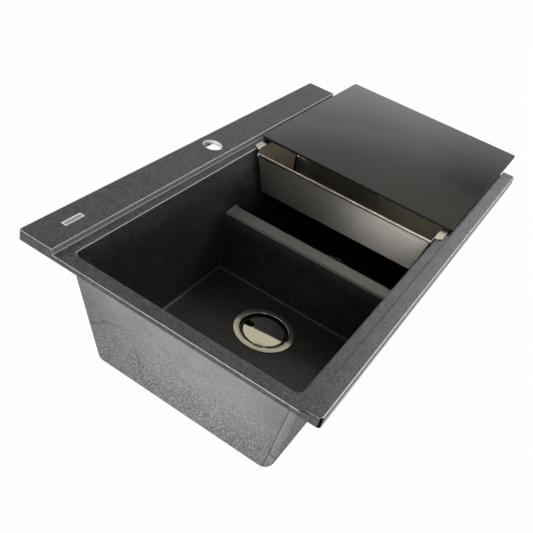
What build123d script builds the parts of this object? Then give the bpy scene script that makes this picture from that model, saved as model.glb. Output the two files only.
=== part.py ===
from build123d import *
import math
import os

# Double bowl kitchen sink with a glass board, a steel tray and two basket wastes.
# Millimetres. +Z is up, +X runs to the right along the front, +Y runs to the back.
# The origin is the centre of the footprint, on the worktop's surface: the underside of the rim is at Z = 0.

# Sink body: rim, tap ledge and front rail
sink_length = 860.0
sink_width = 500.0
rim_height = 8.2             # worktop to the top of the low rim
ledge_rise = 9.1             # low rim to the top of the tap ledge and of the front rail
back_ledge_width = 64.5
front_rail_width = 26.8
step_slope = 1.9             # how far each step leans over its height
step_top_round = 3.0
step_foot_round = 1.5
top_edge_round = 2.5
plan_corner_round = 5.0

# Sink body: mouth and bowls
end_rim_width = 24.8         # low rim between the sink's end and the mouth
side_rim_width = 16.3        # low rim between each step's foot and the mouth
mouth_round = 3.0
bowl_depth = 203.9           # top of the low rim to the floor
wall = 8.4
floor_thickness = 8.7
end_draft = 11.1             # degrees from upright: the end walls and the divider
back_draft = 10.5
front_draft = 6.7
inner_corner_round = 10.0
inner_floor_round = 6.0
outer_corner_round = 17.0
outer_floor_round = 15.0
divider_drop = 96.5          # top of the low rim to the top of the divider
divider_width = 34.5         # across the divider's top
divider_round = 5.0
divider_foot_round = 6.0     # between the divider and the front and back walls

# Sink body: tap hole and waste holes
tap_hole_radius = 17.5
tap_hole_from_back = 30.5
tap_hole_chamfer = 1.0
ledge_skin = 8.0             # thickness above the pockets that hollow the ledge out from below
ledge_edge = 12.0            # between a pocket and the sink's back edge or its ends
ledge_rib = 8.0              # between two pockets
ledge_pocket_count = 5       # an odd number, so that the tap stands in a pocket
ledge_pocket_corner = 6.0
ledge_pocket_round = 2.0
waste_from_centre = 126.2
waste_from_back = 278.4
waste_hole_radius = 45.0
seat_depth = 1.5             # recess in the bowl's floor for the steel dish
seat_radius = 57.0

# Badge plate, bare
badge_length = 39.0
badge_width = 10.0
badge_thickness = 0.8
badge_round = 1.0
badge_from_left = 72.5       # sink's left end to the plate's centre
badge_from_back = 33.0

# Cutting board and its strips
board_length = 418.0
board_thickness = 5.0
board_corner_round = 5.0
board_edge_chamfer = 0.6
board_left = 114.0           # distance of the board's left edge from the sink's middle
board_front_clearance = 0.6  # front step's foot to the board
board_back_clearance = 4.6   # back step's foot to the board
strip_width = 4.0
strip_height = 4.0
strip_inset = 0.8            # board's edge to the strip
strip_end_inset = 20.0
sliding_clearance = 0.3      # strips and tray flanges above the rim

# Tray
sheet = 1.2
tray_left = 70.5             # distance of the tray's left top corner from the sink's middle
tray_length = 169.0          # along X, at the flanges
tray_front_clearance = 1.9   # mouth's front edge to the outside of the front end wall, at the flanges
tray_back_clearance = 6.2
tray_depth = 92.5            # top of the flanges to the bottom
tray_draft = 12.0
tray_wall_drop = 7.0         # top of the flanges to the top of the long walls
tray_corner_round = 2.0
tray_bottom_round = 2.0
flange_reach = 12.0
flange_bevel = 7.5
hem_height = 6.0
drain_hole_radius = 3.0
drain_pitch = 18.0
drain_columns = 6
drain_rows = 17

# Waste dish of steel sheet, heights from the bowl's floor
dish_sheet = 1.0
dish_rim_radius = 55.4
dish_rim_edge = 0.7          # height of the rim's upper corner at its outside
dish_lip_height = 1.5        # top of the rolled lip
dish_lip_radius = 46.0
dish_mouth_radius = 44.0
dish_shoulder_drop = 6.0     # where the basket's lip rests
dish_cup_radius = 41.2
dish_cup_foot_radius = 40.0
dish_depth = 38.0
dish_lip_round = 1.4
dish_foot_round = 3.0
dish_drain_radius = 5.0
dish_drain_circle = 17.0
dish_drain_count = 6

# Gaskets
upper_gasket_inner = 47.0
upper_gasket_outer = 54.0
upper_gasket_thickness = 1.3
lower_gasket_inner = 46.0
lower_gasket_outer = 52.0
lower_gasket_thickness = 3.0

# Waste body of plastic
body_flange_radius = 53.5
body_flange_thickness = 3.5
body_wall = 3.0
body_bore_radius = 44.5
body_cup_height = 34.0
body_cone_height = 10.0
outlet_radius = 23.9         # outside of the one and a half inch outlet thread
outlet_bore_radius = 20.4
outlet_length = 22.0
boss_radius = 8.0
boss_length = 14.0
boss_drop = 6.0              # dish's underside to the top of the boss
arm_width = 3.0
arm_count = 4
insert_radius = 4.5
insert_length = 12.0

# Clamp screw
screw_radius = 3.0
screw_length = 22.0
screw_head_radius = 5.5
screw_head_height = 1.6
screw_slot_width = 1.2
screw_slot_depth = 0.8
screw_clearance = 0.2
fit_clearance = 0.05

# Strainer basket, its stem and its seal
rest_clearance = 0.3
basket_sheet = 0.8
basket_lip_radius = 43.2
basket_top_radius = 40.2
basket_foot_radius = 36.5
basket_depth = 25.0
basket_slot_width = 3.0
basket_slot_length = 13.0
basket_slot_count = 18
basket_hole_radius = 1.8
basket_hole_pitch = 9.0
basket_ring_first = 12.5     # radius of the innermost ring of holes
basket_ring_step = 7.5
basket_ring_count = 3
stem_radius = 3.0
stem_collar_radius = 6.0
stem_collar_height = 2.0
stem_foot_height = 1.2
stem_foot_radius = 6.0
knob_radius = 9.0
knob_height = 6.0
knob_round = 1.5
knob_neck_radius = 6.4
knob_neck_height = 4.0
knob_top_drop = 5.4          # bowl's floor to the top of the knob's neck
seal_radius = 27.0
seal_neck_radius = 20.0
seal_recess_radius = 9.0
seal_web = 2.6
seal_edge_height = 2.2

# Cover disc with its finger opening
cover_radius = 37.8
cover_sheet = 1.0
cover_top_drop = 2.6         # bowl's floor to the top of the disc
cover_skirt_height = 3.0
cover_round = 0.9
cover_socket_length = 3.0
cover_socket_wall = 1.0
cover_socket_clearance = 0.3
finger_width = 15.0
finger_depth = 17.0
finger_lip_height = 2.2

# Heights and places that follow from the sizes above
floor_z = rim_height - bowl_depth
ledge_z = rim_height + ledge_rise
back_step_foot = sink_width / 2 - back_ledge_width
front_step_foot = -sink_width / 2 + front_rail_width
mouth_back = back_step_foot - side_rim_width
mouth_front = front_step_foot + side_rim_width
mouth_half = sink_length / 2 - end_rim_width
waste_y = sink_width / 2 - waste_from_back
sides = {"left": -1, "right": 1}


def lean(depth, degrees):
    """How far a wall that leans by these degrees moves in over a depth."""
    return depth * math.tan(math.radians(degrees))


def across(thickness, degrees):
    """A leaning wall's thickness, measured level."""
    return thickness / math.cos(math.radians(degrees))


def save(piece, name):
    """Label a finished piece and write it to its own file."""
    os.makedirs("parts", exist_ok=True)
    piece.label = name
    export_step(piece, f"parts/{name}.step")


def tapered_block(top, bottom, mode=Mode.ADD):
    """A block with four flat leaning walls, from a level rectangle down to a smaller one."""
    left, right, front, back, high = top
    foot_left, foot_right, foot_front, foot_back, low = bottom
    with Locations((left, front, high)):
        Wedge(
            right - left,
            high - low,
            back - front,
            foot_left - left,
            foot_front - front,
            foot_right - left,
            foot_back - front,
            rotation=(-90, 0, 0),
            align=Align.MIN,
            mode=mode,
        )


def slanted_edges(part):
    """The edges that run up and down, such as the corners between walls."""
    return part.edges().filter_by(lambda edge: abs(edge.tangent_at(0.5).Z) > 0.5)


def ring_points(inner, outer, low, high):
    """The section of a plain ring, as radius and height."""
    return [(inner, low), (outer, low), (outer, high), (inner, high)]


def bowl_section(depth, skin):
    """The left bowl's four walls at a depth below the low rim, moved outwards by a skin."""
    left = -mouth_half + lean(depth, end_draft) - across(skin, end_draft)
    right = -divider_width / 2 - lean(depth - divider_drop, end_draft) + across(skin, end_draft)
    front = mouth_front + lean(depth, front_draft) - across(skin, front_draft)
    back = mouth_back - lean(depth, back_draft) + across(skin, back_draft)
    return left, right, front, back, rim_height - depth


def meets_divider(edge):
    """Whether an edge lies where the divider runs into the front or the back wall."""
    spot = edge.center()
    depth = rim_height - spot.Z
    beside = abs(spot.X) < bowl_depth / 4
    above_floor = divider_drop - divider_round / 2 < depth < bowl_depth - inner_floor_round / 10
    front_gap = abs(spot.Y - mouth_front - lean(depth, front_draft))
    back_gap = abs(spot.Y - mouth_back + lean(depth, back_draft))
    return beside and above_floor and min(front_gap, back_gap) < divider_round / 2


def bridge_section(depth, skin):
    """The stretch between the two bowls, with the bowls' own front and back walls."""
    _, _, front, back, z = bowl_section(depth, skin)
    bridge_half = divider_width / 2 + outer_corner_round
    return -bridge_half, bridge_half, front, back, z


with BuildPart() as bowl_outsides:
    tapered_block(bowl_section(rim_height, wall), bowl_section(bowl_depth + floor_thickness, wall))
    fillet(slanted_edges(bowl_outsides), outer_corner_round)
    fillet(bowl_outsides.edges().group_by(Axis.Z)[0], outer_floor_round)
    mirror(about=Plane.YZ)

with BuildPart() as bowl_spaces:
    tapered_block(bowl_section(0, 0), bowl_section(bowl_depth, 0))
    outer_corners = slanted_edges(bowl_spaces).group_by(Axis.X)[0]
    fillet(outer_corners, inner_corner_round)
    fillet(bowl_spaces.edges().group_by(Axis.Z)[0], inner_floor_round)
    mirror(about=Plane.YZ)

with BuildPart() as sink_body:
    # the rim's section, with the ledge at the back and the rail at the front
    with BuildSketch(Plane.YZ.offset(-sink_length / 2)) as rim_section:
        with BuildLine():
            Polyline(
                (-sink_width / 2, 0),
                (sink_width / 2, 0),
                (sink_width / 2, ledge_z),
                (back_step_foot + step_slope, ledge_z),
                (back_step_foot, rim_height),
                (front_step_foot, rim_height),
                (front_step_foot - step_slope, ledge_z),
                (-sink_width / 2, ledge_z),
                close=True,
            )
        make_face()
        # in the section's own frame, X runs to the back and Y is the height
        step_points = rim_section.vertices().filter_by(lambda point: abs(point.X) < sink_width / 2)
        step_points = step_points.group_by(Axis.Y)
        fillet(step_points[-1], step_top_round)
        fillet(step_points[0], step_foot_round)
    extrude(amount=sink_length)
    fillet(sink_body.edges().filter_by(Axis.Z), plan_corner_round)
    top_outline = sink_body.edges().filter_by(
        lambda edge: edge.center().Z > rim_height / 2 and (
            abs(abs(edge.center().X) - sink_length / 2) < plan_corner_round
            or abs(abs(edge.center().Y) - sink_width / 2) < plan_corner_round
        )
        and abs(edge.tangent_at(0.5).Z) < 0.99
    )
    fillet(top_outline, top_edge_round)

    # bowls' outsides and the bridge that carries the divider's top
    add(bowl_outsides.part)
    tapered_block(bridge_section(rim_height, wall), bridge_section(divider_drop + wall, wall))

    # the two bowls, and the free space above the divider
    add(bowl_spaces.part, mode=Mode.SUBTRACT)
    tapered_block(bridge_section(0, 0), bridge_section(divider_drop, 0), Mode.SUBTRACT)
    divider_edges = sink_body.edges().filter_by(Axis.Y).filter_by(
        lambda edge: abs(edge.center().Z - (rim_height - divider_drop)) < 0.01
        and abs(edge.center().X) < divider_width
    )
    fillet(divider_edges, divider_round)
    fillet(sink_body.edges().filter_by(meets_divider), divider_foot_round)
    mouth_edges = sink_body.edges().filter_by(
        lambda edge: abs(edge.bounding_box().min.Z - rim_height) < 0.01
        and abs(edge.bounding_box().max.Z - rim_height) < 0.01
        and abs(edge.center().X) < mouth_half + end_rim_width / 2
        and mouth_front - side_rim_width / 2 < edge.center().Y < mouth_back + side_rim_width / 2
    )
    fillet(mouth_edges, mouth_round)

    # pockets under the ledge, with ribs between them
    pocket_front = back_step_foot + wall
    pocket_back = sink_width / 2 - ledge_edge
    pocket_pitch = (sink_length - 2 * ledge_edge + ledge_rib) / ledge_pocket_count
    with BuildSketch() as pocket_outlines:
        with Locations((0, (pocket_front + pocket_back) / 2)):
            with GridLocations(pocket_pitch, 0, ledge_pocket_count, 1):
                RectangleRounded(pocket_pitch - ledge_rib, pocket_back - pocket_front, ledge_pocket_corner)
    extrude(amount=ledge_z - ledge_skin, mode=Mode.SUBTRACT)
    pocket_ceilings = sink_body.faces().filter_by(
        lambda face: abs(face.center().Z - ledge_z + ledge_skin) < 0.01 and face.normal_at().Z < -0.9
    )
    fillet(pocket_ceilings.edges(), ledge_pocket_round)

    # tap hole
    tap_y = sink_width / 2 - tap_hole_from_back
    with Locations((0, tap_y, ledge_z)):
        Hole(tap_hole_radius, depth=ledge_z)
    tap_rim = sink_body.edges().filter_by(GeomType.CIRCLE).filter_by(
        lambda edge: abs(edge.radius - tap_hole_radius) < 0.01 and edge.center().Z > rim_height
    )
    chamfer(tap_rim, tap_hole_chamfer)

    # waste holes with their seats
    with Locations(*[(sign * waste_from_centre, waste_y, floor_z) for sign in sides.values()]):
        CounterBoreHole(waste_hole_radius, seat_radius, seat_depth, depth=floor_thickness)
save(sink_body.part, "sink_body")

# Badge plate, lying on the tap ledge
with BuildPart() as badge_plate:
    with BuildSketch(Plane.XY.offset(ledge_z)):
        with Locations((-sink_length / 2 + badge_from_left, sink_width / 2 - badge_from_back)):
            RectangleRounded(badge_length, badge_width, badge_round)
    extrude(amount=badge_thickness)
    chamfer(badge_plate.edges().group_by(Axis.Z)[-1], badge_thickness / 4)
save(badge_plate.part, "badge_plate")

# Cutting board over the right bowl, on two soft strips
board_bottom = rim_height + sliding_clearance + strip_height
board_front = front_step_foot + board_front_clearance
board_width = back_step_foot - board_back_clearance - board_front
board_middle_x = board_left + board_length / 2
board_middle_y = board_front + board_width / 2
with BuildPart() as cutting_board:
    with BuildSketch(Plane.XY.offset(board_bottom)):
        with Locations((board_middle_x, board_middle_y)):
            RectangleRounded(board_length, board_width, board_corner_round)
    extrude(amount=board_thickness)
    chamfer(cutting_board.faces().filter_by(Axis.Z).edges(), board_edge_chamfer)
save(cutting_board.part, "cutting_board")

strip_offset = board_width / 2 - strip_inset - strip_width / 2
for strip_name, strip_y in (
    ("board_strip_front", board_middle_y - strip_offset),
    ("board_strip_back", board_middle_y + strip_offset),
):
    with BuildPart() as board_strip:
        with BuildSketch(Plane.XY.offset(board_bottom)):
            with Locations((board_middle_x, strip_y)):
                Rectangle(board_length - 2 * strip_end_inset, strip_width)
        extrude(amount=-strip_height)
        chamfer(board_strip.edges().group_by(Axis.Z)[0], strip_width / 5)
    save(board_strip.part, strip_name)

# Tray: folded steel with two flanges that rest on the low rims
tray_top = rim_height + sliding_clearance + sheet
tray_middle_x = tray_left + tray_length / 2
tray_front = mouth_front + tray_front_clearance
tray_width = mouth_back - tray_back_clearance - tray_front     # between the outsides of the end walls
tray_middle_y = tray_front + tray_width / 2


def tray_section(drop, inset, grow_x=0):
    """The tray's level outline at a drop below its flanges, moved in by an inset."""
    half_x = tray_length / 2 - lean(drop, tray_draft) - across(inset, tray_draft) + grow_x
    half_y = tray_width / 2 - lean(drop, tray_draft) - across(inset, tray_draft)
    front = tray_middle_y - half_y
    back = tray_middle_y + half_y
    return tray_middle_x - half_x, tray_middle_x + half_x, front, back, tray_top - drop


with BuildPart() as tray_space:
    tapered_block(tray_section(0, sheet), tray_section(tray_depth - sheet, sheet))
    fillet(slanted_edges(tray_space), tray_corner_round - sheet)
    fillet(tray_space.edges().group_by(Axis.Z)[0], tray_bottom_round - sheet)

with BuildPart() as tray:
    tapered_block(tray_section(0, 0), tray_section(tray_depth, 0))
    fillet(slanted_edges(tray), tray_corner_round)
    fillet(tray.edges().group_by(Axis.Z)[0], tray_bottom_round)
    add(tray_space.part, mode=Mode.SUBTRACT)
    # the long walls end lower than the end walls
    beyond = 2 * tray_corner_round
    wall_top_section = tray_section(tray_wall_drop, sheet, beyond)
    tapered_block(tray_section(0, sheet, beyond), wall_top_section, Mode.SUBTRACT)
    # the folded hem outside each long wall's top edge
    hem_drop = tray_wall_drop + hem_height
    hem_half = tray_width / 2 - lean(hem_drop, tray_draft) - tray_corner_round
    with BuildSketch(Plane.XZ.offset(-tray_middle_y - hem_half)):
        for side in (-1, 1):
            wall_top = tray_length / 2 - lean(tray_wall_drop, tray_draft)
            wall_foot = tray_length / 2 - lean(hem_drop, tray_draft)
            fold = across(sheet, tray_draft)
            with BuildLine():
                Polyline(
                    (tray_middle_x + side * wall_top, tray_top - tray_wall_drop),
                    (tray_middle_x + side * (wall_top + fold), tray_top - tray_wall_drop),
                    (tray_middle_x + side * (wall_foot + fold), tray_top - hem_drop),
                    (tray_middle_x + side * wall_foot, tray_top - hem_drop),
                    close=True,
                )
            make_face()
    extrude(amount=2 * hem_half)
    # the end flanges, bevelled at their outer corners
    for end in (-1, 1):
        root_y = tray_middle_y + end * (tray_width / 2 - across(sheet, tray_draft))
        tip_y = tray_middle_y + end * (tray_width / 2 + flange_reach)
        half = tray_length / 2 - tray_corner_round / 2
        with BuildSketch(Plane.XY.offset(tray_top)):
            with BuildLine():
                Polyline(
                    (tray_middle_x - half, root_y),
                    (tray_middle_x - half, root_y + end * sheet),
                    (tray_middle_x - half + flange_bevel, tip_y),
                    (tray_middle_x + half - flange_bevel, tip_y),
                    (tray_middle_x + half, root_y + end * sheet),
                    (tray_middle_x + half, root_y),
                    close=True,
                )
            make_face()
        extrude(amount=-sheet)
    # drain holes in the bottom
    with BuildSketch(Plane.XY.offset(tray_top - tray_depth)):
        with Locations((tray_middle_x, tray_middle_y)):
            with GridLocations(drain_pitch, drain_pitch, drain_columns, drain_rows):
                Circle(drain_hole_radius)
    extrude(amount=sheet, mode=Mode.SUBTRACT)
save(tray.part, "tray")

# Wastes: every piece is turned about the waste's upright centre line, in heights from the bowl's floor
dish_under = -dish_depth - dish_sheet
upper_gasket_top = upper_gasket_thickness - seat_depth
lower_gasket_top = -floor_thickness
body_top = lower_gasket_top - lower_gasket_thickness
body_cup_foot = body_top - body_cup_height
outlet_top = body_cup_foot - body_cone_height
outlet_end = outlet_top - outlet_length
boss_top = dish_under - boss_drop
basket_lip_foot = -dish_shoulder_drop + rest_clearance
basket_floor = basket_lip_foot - basket_depth
basket_under = basket_floor - basket_sheet
seal_foot = -dish_depth + rest_clearance
stem_foot = basket_under - seal_web - stem_foot_height
knob_foot = -knob_top_drop - knob_neck_height - knob_height
cover_under = -cover_top_drop - cover_sheet


def centre_line(x):
    return Axis((x, waste_y, floor_z), (0, 0, 1))


def turned(x, points, mode=Mode.ADD):
    """Turn a closed section, given as radius and height, about the waste's centre line."""
    with BuildSketch(Plane((x, waste_y, floor_z), x_dir=(1, 0, 0), z_dir=(0, -1, 0))) as section:
        with BuildLine():
            Polyline(*points, close=True)
        make_face()
    revolve(section.sketch, axis=centre_line(x), mode=mode)


def circle_edges(part, radius, height):
    """The round edges of one radius at one height above the bowl's floor."""
    return part.edges().filter_by(GeomType.CIRCLE).filter_by(
        lambda edge: abs(edge.radius - radius) < 0.01 and abs(edge.center().Z - floor_z - height) < 0.01
    )


def finger_outline(half_width):
    """A slot with a round inner end, centred on the cover, open to the back."""
    middle = cover_radius - finger_depth + finger_width / 2
    with Locations((0, middle)):
        Circle(half_width)
    with Locations((0, middle + cover_radius / 2)):
        Rectangle(2 * half_width, cover_radius)


for side, sign in sides.items():
    x = sign * waste_from_centre
    waste_top = Plane((x, waste_y, floor_z))

    # steel dish with its wide rim, rolled lip, shoulder and perforated bottom
    with BuildPart() as waste_dish:
        turned(
            x,
            [
                (0, -dish_depth),
                (dish_cup_foot_radius, -dish_depth),
                (dish_cup_radius, -dish_shoulder_drop),
                (dish_mouth_radius, -dish_shoulder_drop),
                (dish_mouth_radius, dish_lip_height),
                (dish_lip_radius, dish_lip_height),
                (dish_rim_radius, dish_rim_edge),
                (dish_rim_radius, upper_gasket_top),
                (dish_mouth_radius + dish_sheet, upper_gasket_top),
                (dish_mouth_radius + dish_sheet, -dish_shoulder_drop - dish_sheet),
                (dish_cup_radius + dish_sheet, -dish_shoulder_drop - dish_sheet),
                (dish_cup_foot_radius + dish_sheet, dish_under),
                (0, dish_under),
            ],
        )
        fillet(circle_edges(waste_dish, dish_mouth_radius, dish_lip_height), dish_lip_round)
        fillet(circle_edges(waste_dish, dish_cup_foot_radius, -dish_depth), dish_foot_round - dish_sheet)
        fillet(circle_edges(waste_dish, dish_cup_foot_radius + dish_sheet, dish_under), dish_foot_round)
        with Locations(waste_top.offset(-dish_depth)):
            with PolarLocations(dish_drain_circle, dish_drain_count):
                Hole(dish_drain_radius, depth=dish_sheet)
            Hole(screw_radius + screw_clearance, depth=dish_sheet)
    save(waste_dish.part, f"{side}_waste_dish")

    # gaskets above and below the bowl's floor
    with BuildPart() as upper_gasket:
        turned(x, ring_points(upper_gasket_inner, upper_gasket_outer, -seat_depth, upper_gasket_top))
    save(upper_gasket.part, f"{side}_upper_gasket")

    with BuildPart() as lower_gasket:
        gasket_ring = ring_points(lower_gasket_inner, lower_gasket_outer, body_top, lower_gasket_top)
        turned(x, gasket_ring)
    save(lower_gasket.part, f"{side}_lower_gasket")

    # plastic body with its cup, cone, outlet and the boss for the screw
    with BuildPart() as waste_body:
        turned(
            x,
            [
                (body_bore_radius, body_top),
                (body_flange_radius, body_top),
                (body_flange_radius, body_top - body_flange_thickness),
                (body_bore_radius + body_wall, body_top - body_flange_thickness),
                (body_bore_radius + body_wall, body_cup_foot),
                (outlet_radius, outlet_top),
                (outlet_radius, outlet_end),
                (outlet_bore_radius, outlet_end),
                (outlet_bore_radius, outlet_top + body_wall),
                (body_bore_radius, body_cup_foot + body_wall),
            ],
        )
        turned(x, ring_points(0, boss_radius, boss_top - boss_length, boss_top))
        with BuildSketch(waste_top.offset(boss_top - boss_length)):
            with PolarLocations(outlet_radius / 2, arm_count):
                Rectangle(outlet_radius, arm_width)
        extrude(amount=boss_length - boss_drop)
        screw_bore = screw_radius + screw_clearance
        with Locations(waste_top.offset(boss_top)):
            CounterBoreHole(screw_bore, insert_radius + fit_clearance, insert_length, depth=boss_length)
    save(waste_body.part, f"{side}_waste_body")

    # brass insert in the boss
    with BuildPart() as screw_insert:
        insert_bore = screw_radius + fit_clearance
        turned(x, ring_points(insert_bore, insert_radius, boss_top - insert_length, boss_top))
    save(screw_insert.part, f"{side}_screw_insert")

    # slotted screw that clamps the dish to the body
    with BuildPart() as clamp_screw:
        turned(
            x,
            [
                (0, -dish_depth - screw_length),
                (screw_radius, -dish_depth - screw_length),
                (screw_radius, -dish_depth),
                (screw_head_radius, -dish_depth),
                (screw_head_radius, -dish_depth + screw_head_height),
                (0, -dish_depth + screw_head_height),
            ],
        )
        head_top = screw_head_height - dish_depth
        fillet(circle_edges(clamp_screw, screw_head_radius, head_top), screw_head_height / 2)
        with BuildSketch(waste_top.offset(head_top)):
            Rectangle(2 * screw_head_radius, screw_slot_width)
        extrude(amount=-screw_slot_depth, mode=Mode.SUBTRACT)
    save(clamp_screw.part, f"{side}_clamp_screw")

    # perforated basket whose lip rests on the dish's shoulder
    with BuildPart() as strainer_basket:
        turned(
            x,
            [
                (0, basket_floor),
                (basket_foot_radius - basket_sheet, basket_floor),
                (basket_top_radius - basket_sheet, basket_lip_foot + basket_sheet),
                (basket_lip_radius, basket_lip_foot + basket_sheet),
                (basket_lip_radius, basket_lip_foot),
                (basket_top_radius, basket_lip_foot),
                (basket_foot_radius, basket_under),
                (0, basket_under),
            ],
        )
        with Locations(waste_top.offset(basket_floor)):
            Hole(stem_radius + fit_clearance, depth=basket_sheet)
            for ring in range(basket_ring_count):
                ring_radius = basket_ring_first + ring * basket_ring_step
                with PolarLocations(ring_radius, round(2 * math.pi * ring_radius / basket_hole_pitch)):
                    Hole(basket_hole_radius, depth=basket_sheet)
        slot_middle = (basket_lip_foot + basket_floor) / 2
        with BuildSketch(waste_top.offset(slot_middle - basket_slot_length / 2)):
            with PolarLocations(basket_top_radius - basket_sheet, basket_slot_count):
                Rectangle(basket_top_radius / 4, basket_slot_width)
        extrude(amount=basket_slot_length, mode=Mode.SUBTRACT)
    save(strainer_basket.part, f"{side}_strainer_basket")

    # stem: knob, collar on the basket's floor, rod through it and foot that holds the seal
    with BuildPart() as basket_stem:
        turned(
            x,
            [
                (0, stem_foot),
                (stem_foot_radius, stem_foot),
                (stem_foot_radius, stem_foot + stem_foot_height),
                (stem_radius, stem_foot + stem_foot_height),
                (stem_radius, basket_floor),
                (stem_collar_radius, basket_floor),
                (stem_collar_radius, basket_floor + stem_collar_height),
                (stem_radius, basket_floor + stem_collar_height),
                (stem_radius, knob_foot),
                (knob_radius, knob_foot),
                (knob_radius, knob_foot + knob_height),
                (knob_neck_radius, knob_foot + knob_height),
                (knob_neck_radius, -knob_top_drop),
                (0, -knob_top_drop),
            ],
        )
        fillet(circle_edges(basket_stem, knob_radius, knob_foot), knob_round)
        fillet(circle_edges(basket_stem, knob_radius, knob_foot + knob_height), knob_round)
    save(basket_stem.part, f"{side}_basket_stem")

    # rubber seal under the basket
    with BuildPart() as plug_seal:
        turned(
            x,
            [
                (stem_radius + fit_clearance, basket_under - seal_web),
                (seal_recess_radius, basket_under - seal_web),
                (seal_recess_radius, seal_foot),
                (seal_radius, seal_foot),
                (seal_radius, seal_foot + seal_edge_height),
                (seal_neck_radius, basket_under),
                (stem_radius + fit_clearance, basket_under),
            ],
        )
    save(plug_seal.part, f"{side}_plug_seal")

    # cover disc with a skirt, a socket for the knob's neck and a lipped finger opening
    socket_radius = knob_neck_radius + cover_socket_clearance
    with BuildPart() as waste_cover:
        turned(
            x,
            [
                (0, -cover_top_drop),
                (cover_radius, -cover_top_drop),
                (cover_radius, -cover_top_drop - cover_skirt_height),
                (cover_radius - cover_sheet, -cover_top_drop - cover_skirt_height),
                (cover_radius - cover_sheet, cover_under),
                (socket_radius + cover_socket_wall, cover_under),
                (socket_radius + cover_socket_wall, cover_under - cover_socket_length),
                (socket_radius, cover_under - cover_socket_length),
                (socket_radius, cover_under),
                (0, cover_under),
            ],
        )
        fillet(circle_edges(waste_cover, cover_radius, -cover_top_drop), cover_round)
        # the finger opening runs out through the disc's edge and has a lip below it, all round
        lip_top = waste_top.offset(cover_under)
        with BuildSketch(lip_top) as lip_outline:
            finger_outline(finger_width / 2 + cover_sheet)
            Circle(cover_radius - cover_sheet / 2, mode=Mode.INTERSECT)
        extrude(amount=-finger_lip_height)
        with BuildSketch(waste_top) as opening_outline:
            finger_outline(finger_width / 2)
        extrude(amount=cover_under - finger_lip_height, mode=Mode.SUBTRACT)
    save(waste_cover.part, f"{side}_waste_cover")
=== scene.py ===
import math

import bmesh
import bpy
from mathutils import Matrix, Vector


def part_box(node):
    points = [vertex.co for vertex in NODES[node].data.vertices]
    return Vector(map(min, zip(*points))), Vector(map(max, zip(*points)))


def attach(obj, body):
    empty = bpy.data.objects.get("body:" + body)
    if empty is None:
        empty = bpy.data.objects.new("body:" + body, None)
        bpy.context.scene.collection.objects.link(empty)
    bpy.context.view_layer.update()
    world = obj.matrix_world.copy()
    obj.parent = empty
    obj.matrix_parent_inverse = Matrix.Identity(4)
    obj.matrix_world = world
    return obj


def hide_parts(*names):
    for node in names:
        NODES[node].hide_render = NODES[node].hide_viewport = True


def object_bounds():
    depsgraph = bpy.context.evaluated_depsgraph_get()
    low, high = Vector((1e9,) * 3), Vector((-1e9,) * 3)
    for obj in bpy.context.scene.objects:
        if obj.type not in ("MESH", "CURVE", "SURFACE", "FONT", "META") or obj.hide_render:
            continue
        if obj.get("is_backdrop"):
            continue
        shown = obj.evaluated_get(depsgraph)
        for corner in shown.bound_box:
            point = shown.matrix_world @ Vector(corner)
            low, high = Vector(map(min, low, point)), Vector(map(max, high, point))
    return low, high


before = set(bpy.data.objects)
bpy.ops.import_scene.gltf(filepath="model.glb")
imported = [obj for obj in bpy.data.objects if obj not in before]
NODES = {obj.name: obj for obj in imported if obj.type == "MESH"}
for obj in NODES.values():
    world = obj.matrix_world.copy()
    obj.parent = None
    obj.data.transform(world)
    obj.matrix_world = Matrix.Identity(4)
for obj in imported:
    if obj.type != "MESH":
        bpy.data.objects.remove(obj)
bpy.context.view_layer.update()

# The looks of a double bowl kitchen sink with a glass board, a steel tray and two basket wastes.
# Metres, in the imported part's frame: +Z up, +X right along the front, +Y to the back.
MM = 0.001
NEAR = 0.01 * MM
SIDES = ("left", "right")


# Camera, as the photograph was taken
CAMERA_PLACE = Vector((-1.0168, -0.3730, 0.6501))
CAMERA_AZIMUTH = -67.3        # degrees about the upright axis, from looking to the back
CAMERA_ELEVATION = 36.6
CAMERA_ROLL = 15.55
CAMERA_LENS = 48.6            # millimetres, as is the sensor
CAMERA_SENSOR = 36


def place_camera():
    data = bpy.data.cameras.new("photo_camera")
    data.lens = CAMERA_LENS
    data.sensor_width = CAMERA_SENSOR
    camera = bpy.data.objects.new("photo_camera", data)
    bpy.context.scene.collection.objects.link(camera)
    turn = Matrix.Rotation(math.radians(CAMERA_AZIMUTH), 4, "Z")
    tilt = Matrix.Rotation(math.radians(90 - CAMERA_ELEVATION), 4, "X")
    roll = Matrix.Rotation(math.radians(CAMERA_ROLL), 4, "Z")
    camera.matrix_world = Matrix.Translation(CAMERA_PLACE) @ turn @ tilt @ roll
    bpy.context.scene.camera = camera


# Node trees
def add(tree, kind, inputs=None, **settings):
    """Add a node with its settings. An input is a value, or the output that feeds it."""
    made = tree.nodes.new(kind)
    for key, value in settings.items():
        setattr(made, key, value)
    for key, value in (inputs or {}).items():
        if isinstance(value, bpy.types.NodeSocket):
            tree.links.new(value, made.inputs[key])
        else:
            made.inputs[key].default_value = value
    return made


def feed(tree, node, **sources):
    """Link outputs to a node's inputs, written with underscores for spaces."""
    for key, value in sources.items():
        tree.links.new(value, node.inputs[key.replace("_", " ")])


def maths(tree, operation, *values):
    return add(tree, "ShaderNodeMath", dict(enumerate(values)), operation=operation).outputs[0]


def vector_maths(tree, operation, *values, output=0):
    made = add(tree, "ShaderNodeVectorMath", dict(enumerate(values)), operation=operation)
    return made.outputs[output]


def split(tree, vector):
    """The X, Y and Z of a vector."""
    return add(tree, "ShaderNodeSeparateXYZ", {0: vector}).outputs


def join(tree, *parts):
    """A vector from its X, Y and Z."""
    return add(tree, "ShaderNodeCombineXYZ", dict(enumerate(parts))).outputs[0]


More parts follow.
